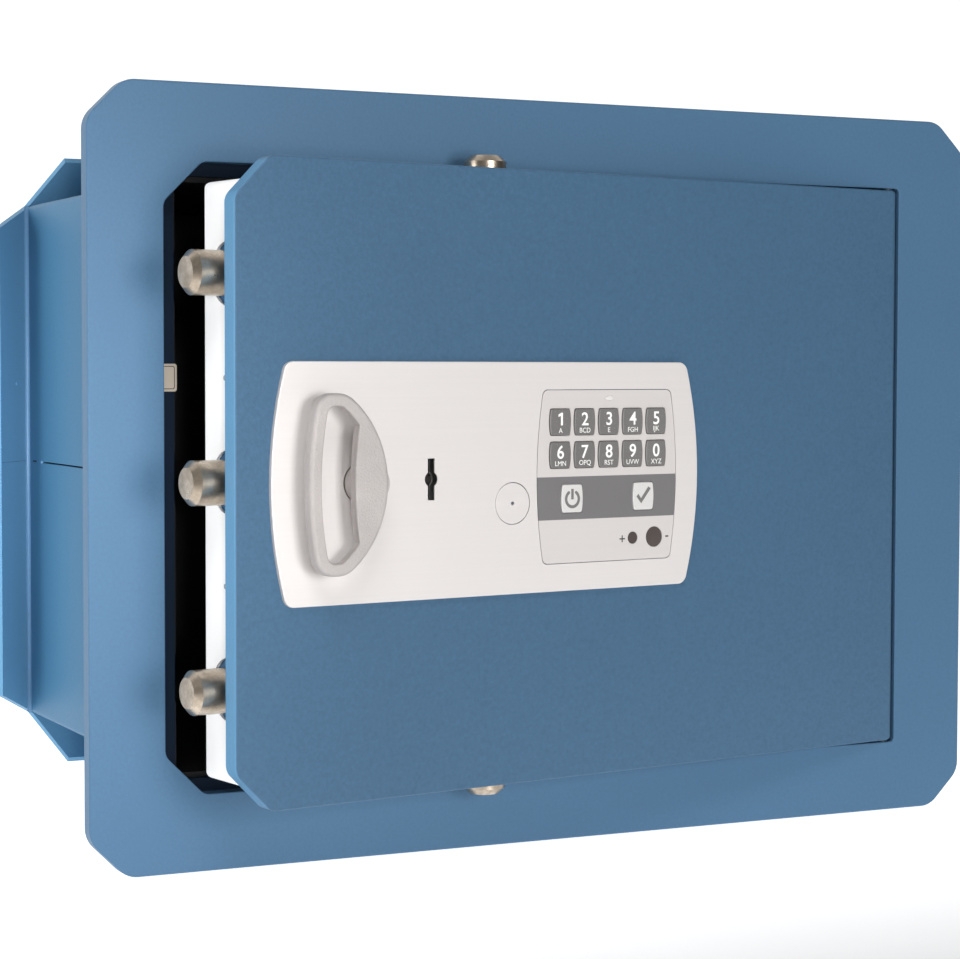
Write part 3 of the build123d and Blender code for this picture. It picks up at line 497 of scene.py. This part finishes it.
def stroke(x0, y0, x1, y1, w):
    """Outline of a straight bar of width w between two points."""
    dx, dy = x1 - x0, y1 - y0
    k = w / 2 / math.hypot(dx, dy)
    return [
        (x0 - dy * k, y0 + dx * k), (x0 + dy * k, y0 - dx * k),
        (x1 + dy * k, y1 - dx * k), (x1 - dy * k, y1 + dx * k),
    ]


def middle(span):
    return (span[0] + span[1]) / 2


LETTERS = {
    "1": "A", "2": "BCD", "3": "E", "4": "FGH", "5": "IJK",
    "6": "LMN", "7": "OPQ", "8": "RST", "9": "UVW", "0": "XYZ",
}
DIGIT_SIZE, DIGIT_BOLD, DIGIT_RISE = 0.0084, 0.00012, 0.0014
LETTER_SIZE, LETTER_DROP = 0.0032, 0.0038
for digit, letters in LETTERS.items():
    key = "key_" + digit
    across, height, (n0, _) = door_span(key)
    a, z = middle(across), middle(height)
    if digit == "1":
        mesh = flat_mesh("digit_1", [[
            (0.0012, 0.0029), (0.0003, 0.0029), (-0.0013, 0.0020), (-0.0013, 0.0009),
            (0.0001, 0.0016), (0.0001, -0.0029), (0.0012, -0.0029),
        ]])
    else:
        mesh = print_mesh("digit_" + digit, digit, DIGIT_SIZE, DIGIT_BOLD)
    mesh.transform(door_matrix(a, z + DIGIT_RISE, n0 - LIFT))
    piece("digit_" + digit, mesh, print_white, key + "_body")
    mesh = print_mesh("letters_" + digit, letters, LETTER_SIZE, 0.0)
    mesh.transform(door_matrix(a, z - LETTER_DROP, n0 - LIFT))
    piece("letters_" + digit, mesh, print_white, key + "_body")

across, height, (n0, _) = door_span("power_button")
MARK_WIDTH = 0.0014
mesh = flat_mesh("power_mark", [
    arc_band(0.0036, MARK_WIDTH, math.radians(125), math.radians(415)),
    stroke(0, 0.0046, 0, -0.0002, MARK_WIDTH),
])
mesh.transform(door_matrix(middle(across), middle(height) - 0.0002, n0 - LIFT))
piece("power_mark", mesh, print_grey, "power_button_body")

across, height, (n0, _) = door_span("enter_button")
mesh = flat_mesh("check_mark", [[
    (-0.0042, -0.0002), (-0.0014, -0.0034), (0.0042, 0.0034),
    (0.0028, 0.0044), (-0.0015, -0.0010), (-0.0031, 0.0011),
]])
mesh.transform(door_matrix(middle(across), middle(height), n0 - LIFT))
piece("check_mark", mesh, print_grey, "enter_button_body")

_, _, (face_depth, _) = door_span("keypad_face")
(ca0, ca1), height, _ = door_span("battery_contacts")
cz = middle(height)
w, s = 0.0006, 0.0016
mesh = flat_mesh("plus_mark", [[
    (-s, w / 2), (-w / 2, w / 2), (-w / 2, s), (w / 2, s), (w / 2, w / 2), (s, w / 2),
    (s, -w / 2), (w / 2, -w / 2), (w / 2, -s), (-w / 2, -s), (-w / 2, -w / 2), (-s, -w / 2),
]])
mesh.transform(door_matrix(ca0 - 0.0034, cz - 0.0003, face_depth - LIFT))
piece("plus_mark", mesh, dark_print_and_shade, "door")
mesh = flat_mesh("minus_mark", [stroke(-0.0009, 0, 0.0009, 0, 0.0007)])
mesh.transform(door_matrix(ca1 + 0.0030, cz, face_depth - LIFT))
piece("minus_mark", mesh, dark_print_and_shade, "door")

# ------------------------------------------------------------------ seams, welds and small marks on the body
def ring_mesh(name, outer, inner, thick=THIN):
    """A closed thin ring between two outlines that have the same number of points."""
    bm = bmesh.new()
    rows = []
    for loop, h in ((outer, -thick / 2), (outer, thick / 2), (inner, thick / 2), (inner, -thick / 2)):
        rows.append([bm.verts.new((x, y, h)) for x, y in loop])
    k = len(outer)
    for a, b in zip(rows, rows[1:] + rows[:1]):
        for i in range(k):
            bm.faces.new((a[i], a[(i + 1) % k], b[(i + 1) % k], b[i]))
    bmesh.ops.recalc_face_normals(bm, faces=bm.faces)
    return finished(name, bm)


def rounded(w, h, r, n=6):
    """Outline of a rectangle with round corners."""
    out = []
    for cx, cy, a0 in ((1, 1, 0), (-1, 1, 90), (-1, -1, 180), (1, -1, 270)):
        for i in range(n + 1):
            a = math.radians(a0 + 90 * i / n)
            out.append((cx * (w / 2 - r) + r * math.cos(a), cy * (h / 2 - r) + r * math.sin(a)))
    return out


def circle(r, n=40):
    return [(r * math.cos(math.tau * i / n), r * math.sin(math.tau * i / n)) for i in range(n)]


def facing(normal, up, at):
    """A frame whose local z is the given normal and whose local y is the given up."""
    side = Vector(up).cross(Vector(normal))
    m = Matrix((side, Vector(up), Vector(normal))).transposed().to_4x4()
    m.translation = at
    return m


# the contact plate's groove: a flat dark ring of painted shade
lo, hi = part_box("door_contact_plate")
mid = (lo + hi) / 2
front = Vector((mid.x, lo.y - LIFT, mid.z))
w, h = hi.x - lo.x, hi.z - lo.z
outer, inner = rounded(w - 0.0019, h - 0.0020, 0.0009), rounded(w - 0.0026, h - 0.0027, 0.0007)
mesh = ring_mesh("contact_plate_groove", outer, inner)
mesh.transform(facing((0, -1, 0), (0, 0, 1), front))
piece("contact_plate_groove", mesh, dark_print_and_shade, "safe_body")

# the cover's screws: a painted shadow line round each head and a small dark disc of painted shade for the round
# socket
(sa0, sa1), (sz0, sz1), (sn0, sn1) = door_span("cover_screws")
(va0, va1), _, _ = door_span("mechanism_cover")
head_r = (sn1 - sn0) / 2
for k, z in enumerate((sz1 - head_r, sz0 + head_r)):
    for side, a in ((-1, sa0), (1, sa1)):
        n = (sn0 + sn1) / 2
        name = "screw_%s_%d" % ("left" if side < 0 else "right", k)
        mesh = ring_mesh(name + "_line", circle(head_r + 0.0002), circle(head_r - 0.0001))
        wall = va0 if side < 0 else va1
        mesh.transform(facing(ALONG * side, UP, on_door(wall + side * LIFT, z, n)))
        piece(name + "_line", mesh, screw_shadow, "door")
        mesh = flat_mesh(name + "_socket", [circle(0.0012)])
        mesh.transform(facing(ALONG * side, UP, on_door(a + side * LIFT, z, n)))
        piece(name + "_socket", mesh, screw_shadow, "door")

# left side of the body: weld bead at the seam's end, lighter than the blue as a painted highlight; a short slit
# behind it, a flat near-black mark of painted shade; the butt line on the flap
SHEET = 0.003
WELD_Y, WELD_SIZE = 0.2112, (0.0006, 0.0016, 0.0010)
SLIT_Y, SLIT_HALF, SLIT_WIDTH = 0.2247, 0.0034, 0.0009
lo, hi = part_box("back_plate")
wall_x = lo.x - SHEET
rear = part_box("upper_body_shell")[1].y
half_h = hi.z + SHEET
bm = bmesh.new()
bmesh.ops.create_uvsphere(bm, u_segments=24, v_segments=12, radius=1.0)
mesh = finished("seam_weld", bm)
for poly in mesh.polygons:
    poly.use_smooth = True
mesh.transform(Matrix.Diagonal((*WELD_SIZE, 1)))
mesh.transform(Matrix.Translation((wall_x, WELD_Y, 0)))
piece("seam_weld", mesh, weld_highlight_paint, "safe_body")
mesh = flat_mesh("seam_slit", [stroke(-SLIT_HALF, 0, SLIT_HALF, 0, SLIT_WIDTH)])
mesh.transform(facing((-1, 0, 0), (0, 0, 1), (wall_x - LIFT, SLIT_Y, 0)))
piece("seam_slit", mesh, hole_dark, "safe_body")

# the flap's fold: a concave bead where flap and wall meet, built from their two directions, in the lighter blue of
# a painted highlight along the crease
FLAP_FORWARD, FLAP_OUT, FLAP_LENGTH = 0.0255, 0.0210, 0.0369
TILT = math.atan2(FLAP_FORWARD, FLAP_OUT)
out_dir = Vector((-math.cos(TILT), -math.sin(TILT), 0))
face_n = Vector((math.sin(TILT), -math.cos(TILT), 0))
start = Vector((wall_x, rear, 0)) + face_n * SHEET
corner = start + out_dir * ((start.x - wall_x) / math.cos(TILT))
length = FLAP_LENGTH - (corner - start).length
reach = length / 2 - 0.0004
mesh = flat_mesh("flap_butt_line", [stroke(-reach, 0, reach, 0, 0.00022)])
mesh.transform(facing(face_n, (0, 0, 1), corner + out_dir * length / 2 + face_n * LIFT))
piece("flap_butt_line", mesh, seam_paint, "safe_body")
forward_dir = Vector((0, -1, 0))
half_angle = math.acos(forward_dir.dot(out_dir)) / 2
bisector = (forward_dir + out_dir).normalized()
FOLD_R, FOLD_STEPS, FOLD_END = 0.0012, 12, 0.001
centre = corner + bisector * (FOLD_R / math.sin(half_angle))
profile = [corner - bisector * 0.0002]
sweep = math.pi - 2 * half_angle
for i in range(FOLD_STEPS + 1):
    a = -sweep / 2 + sweep * i / FOLD_STEPS
    profile.append(centre + Matrix.Rotation(a, 3, "Z") @ -bisector * FOLD_R)
bm = bmesh.new()
low_ring = [bm.verts.new((p.x, p.y, -half_h + FOLD_END)) for p in profile]
top_ring = [bm.verts.new((p.x, p.y, half_h - FOLD_END)) for p in profile]
k = len(profile)
for i in range(k):
    f = bm.faces.new((low_ring[i], low_ring[(i + 1) % k], top_ring[(i + 1) % k], top_ring[i]))
    f.smooth = 1 <= i <= FOLD_STEPS
bm.faces.new(low_ring[::-1])
bm.faces.new(top_ring)
bmesh.ops.recalc_face_normals(bm, faces=bm.faces)
mesh = finished("left_fold", bm)
piece("left_fold", mesh, weld_highlight_paint, "safe_body")

# ------------------------------------------------------------------ floor, light and camera
def floor(name, size, centre, material):
    """One square face that belongs to the stage."""
    bm = bmesh.new()
    bmesh.ops.create_grid(bm, x_segments=1, y_segments=1, size=0.5)
    mesh = finished(name, bm)
    ob = bpy.data.objects.new(name, mesh)
    ob.scale = (size, size, 1)
    ob.location = centre
    bpy.context.scene.collection.objects.link(ob)
    mesh.materials.append(material)
    return ob


# lit from below towards the back, like a sweep, and plain pale grey in front
FLOOR_GLOW = 0.9
pale = bpy.data.materials.new("pale_floor")
pale.use_nodes = True
pb = pale.node_tree.nodes["Principled BSDF"]
pb.inputs["Base Color"].default_value = (0.6, 0.6, 0.6, 1)
pb.inputs["Roughness"].default_value = 0.9
pb.inputs["Emission Color"].default_value = (1, 1, 1, 1)
ft = pale.node_tree
place = ft.nodes.new("ShaderNodeSeparateXYZ")
ft.links.new(ft.nodes.new("ShaderNodeNewGeometry").outputs["Position"], place.inputs[0])
glow = map_range(ft, place.outputs[1], -0.45, 0.0, 0.0, FLOOR_GLOW)
ft.links.new(glow, pb.inputs["Emission Strength"])
FLOOR_SIZE, FLOOR_BACK, FLOOR_DROP = 24, 6, 0.0005
floor("floor", FLOOR_SIZE, (0, FLOOR_BACK, cad_box[0][2] - FLOOR_DROP), pale)

# a white studio: bright behind the object, toned down in front, more so to the right
world = bpy.data.worlds.new("studio")
bpy.context.scene.world = world
world.use_nodes = True
wt = world.node_tree
bg = wt.nodes["Background"]
where = wt.nodes.new("ShaderNodeTexCoord").outputs["Generated"]
axes = wt.nodes.new("ShaderNodeSeparateXYZ")
wt.links.new(where, axes.inputs[0])
FRONT_LEFT, FRONT_RIGHT, BEHIND = 0.08, 0.05, 1.10
ahead = map_range(wt, axes.outputs[0], -0.8, 0.6, FRONT_LEFT, FRONT_RIGHT)
wt.links.new(map_range(wt, axes.outputs[1], -0.15, 0.5, ahead, BEHIND), bg.inputs["Strength"])
bg.inputs["Color"].default_value = (1, 1, 1, 1)


def lamp(name, kind, loc, target, power):
    """A lamp at one point, aimed at another; returns its data."""
    light = bpy.data.lights.new(name, kind)
    light.energy = power
    ob = bpy.data.objects.new(name, light)
    ob.location = loc
    ob.rotation_euler = (Vector(target) - Vector(loc)).to_track_quat("-Z", "Y").to_euler()
    bpy.context.scene.collection.objects.link(ob)
    return light


def area(name, loc, target, width, height, power):
    light = lamp(name, "AREA", loc, target, power)
    light.shape = "RECTANGLE"
    light.size, light.size_y = width, height


def spot(name, loc, target, power, cone, blend, radius):
    light = lamp(name, "SPOT", loc, target, power)
    light.spot_size = math.radians(cone)
    light.spot_blend = blend
    light.shadow_soft_size = radius


KEY, SIDE, FLAP, FRONT = 5.6, 6.6, 235.0, 12.0
area("key_top", (-0.45, -0.70, 0.85), (-0.05, 0, 0.1), 0.5, 0.4, KEY)
area("side_left", (-1.5, 0.1, 0.2), (-0.2, 0.1, 0), 0.8, 0.8, SIDE)
spot("flap_spot", (-0.80, -1.95, 0.12), (-0.34, 0.1, 0), FLAP, 11.0, 0.7, 0.12)
area("front", (0.12, -1.45, 0.08), (-0.1, -0.05, 0), 0.5, 0.5, FRONT)

cam = bpy.data.cameras.new("camera")
cam_ob = bpy.data.objects.new("camera", cam)
bpy.context.scene.collection.objects.link(cam_ob)
cam.sensor_width = 36.0
cam.lens = 92.26
cam.clip_start = 0.05
cam.clip_end = 60
cam_ob.location = (-0.53361, -1.03736, 0.05039)
pitch, roll, yaw = 0.04619, 0.00206, 0.44497
forward = Vector((math.cos(pitch) * math.sin(yaw), math.cos(pitch) * math.cos(yaw), -math.sin(pitch)))
right0 = Vector((math.cos(yaw), -math.sin(yaw), 0))
up0 = right0.cross(forward)
right = right0 * math.cos(roll) + up0 * math.sin(roll)
up = right.cross(forward)
rot = Matrix((right, up, -forward)).transposed()
cam_ob.rotation_euler = rot.to_euler()
bpy.context.scene.camera = cam_ob
bpy.context.scene.view_settings.view_transform = "Standard"
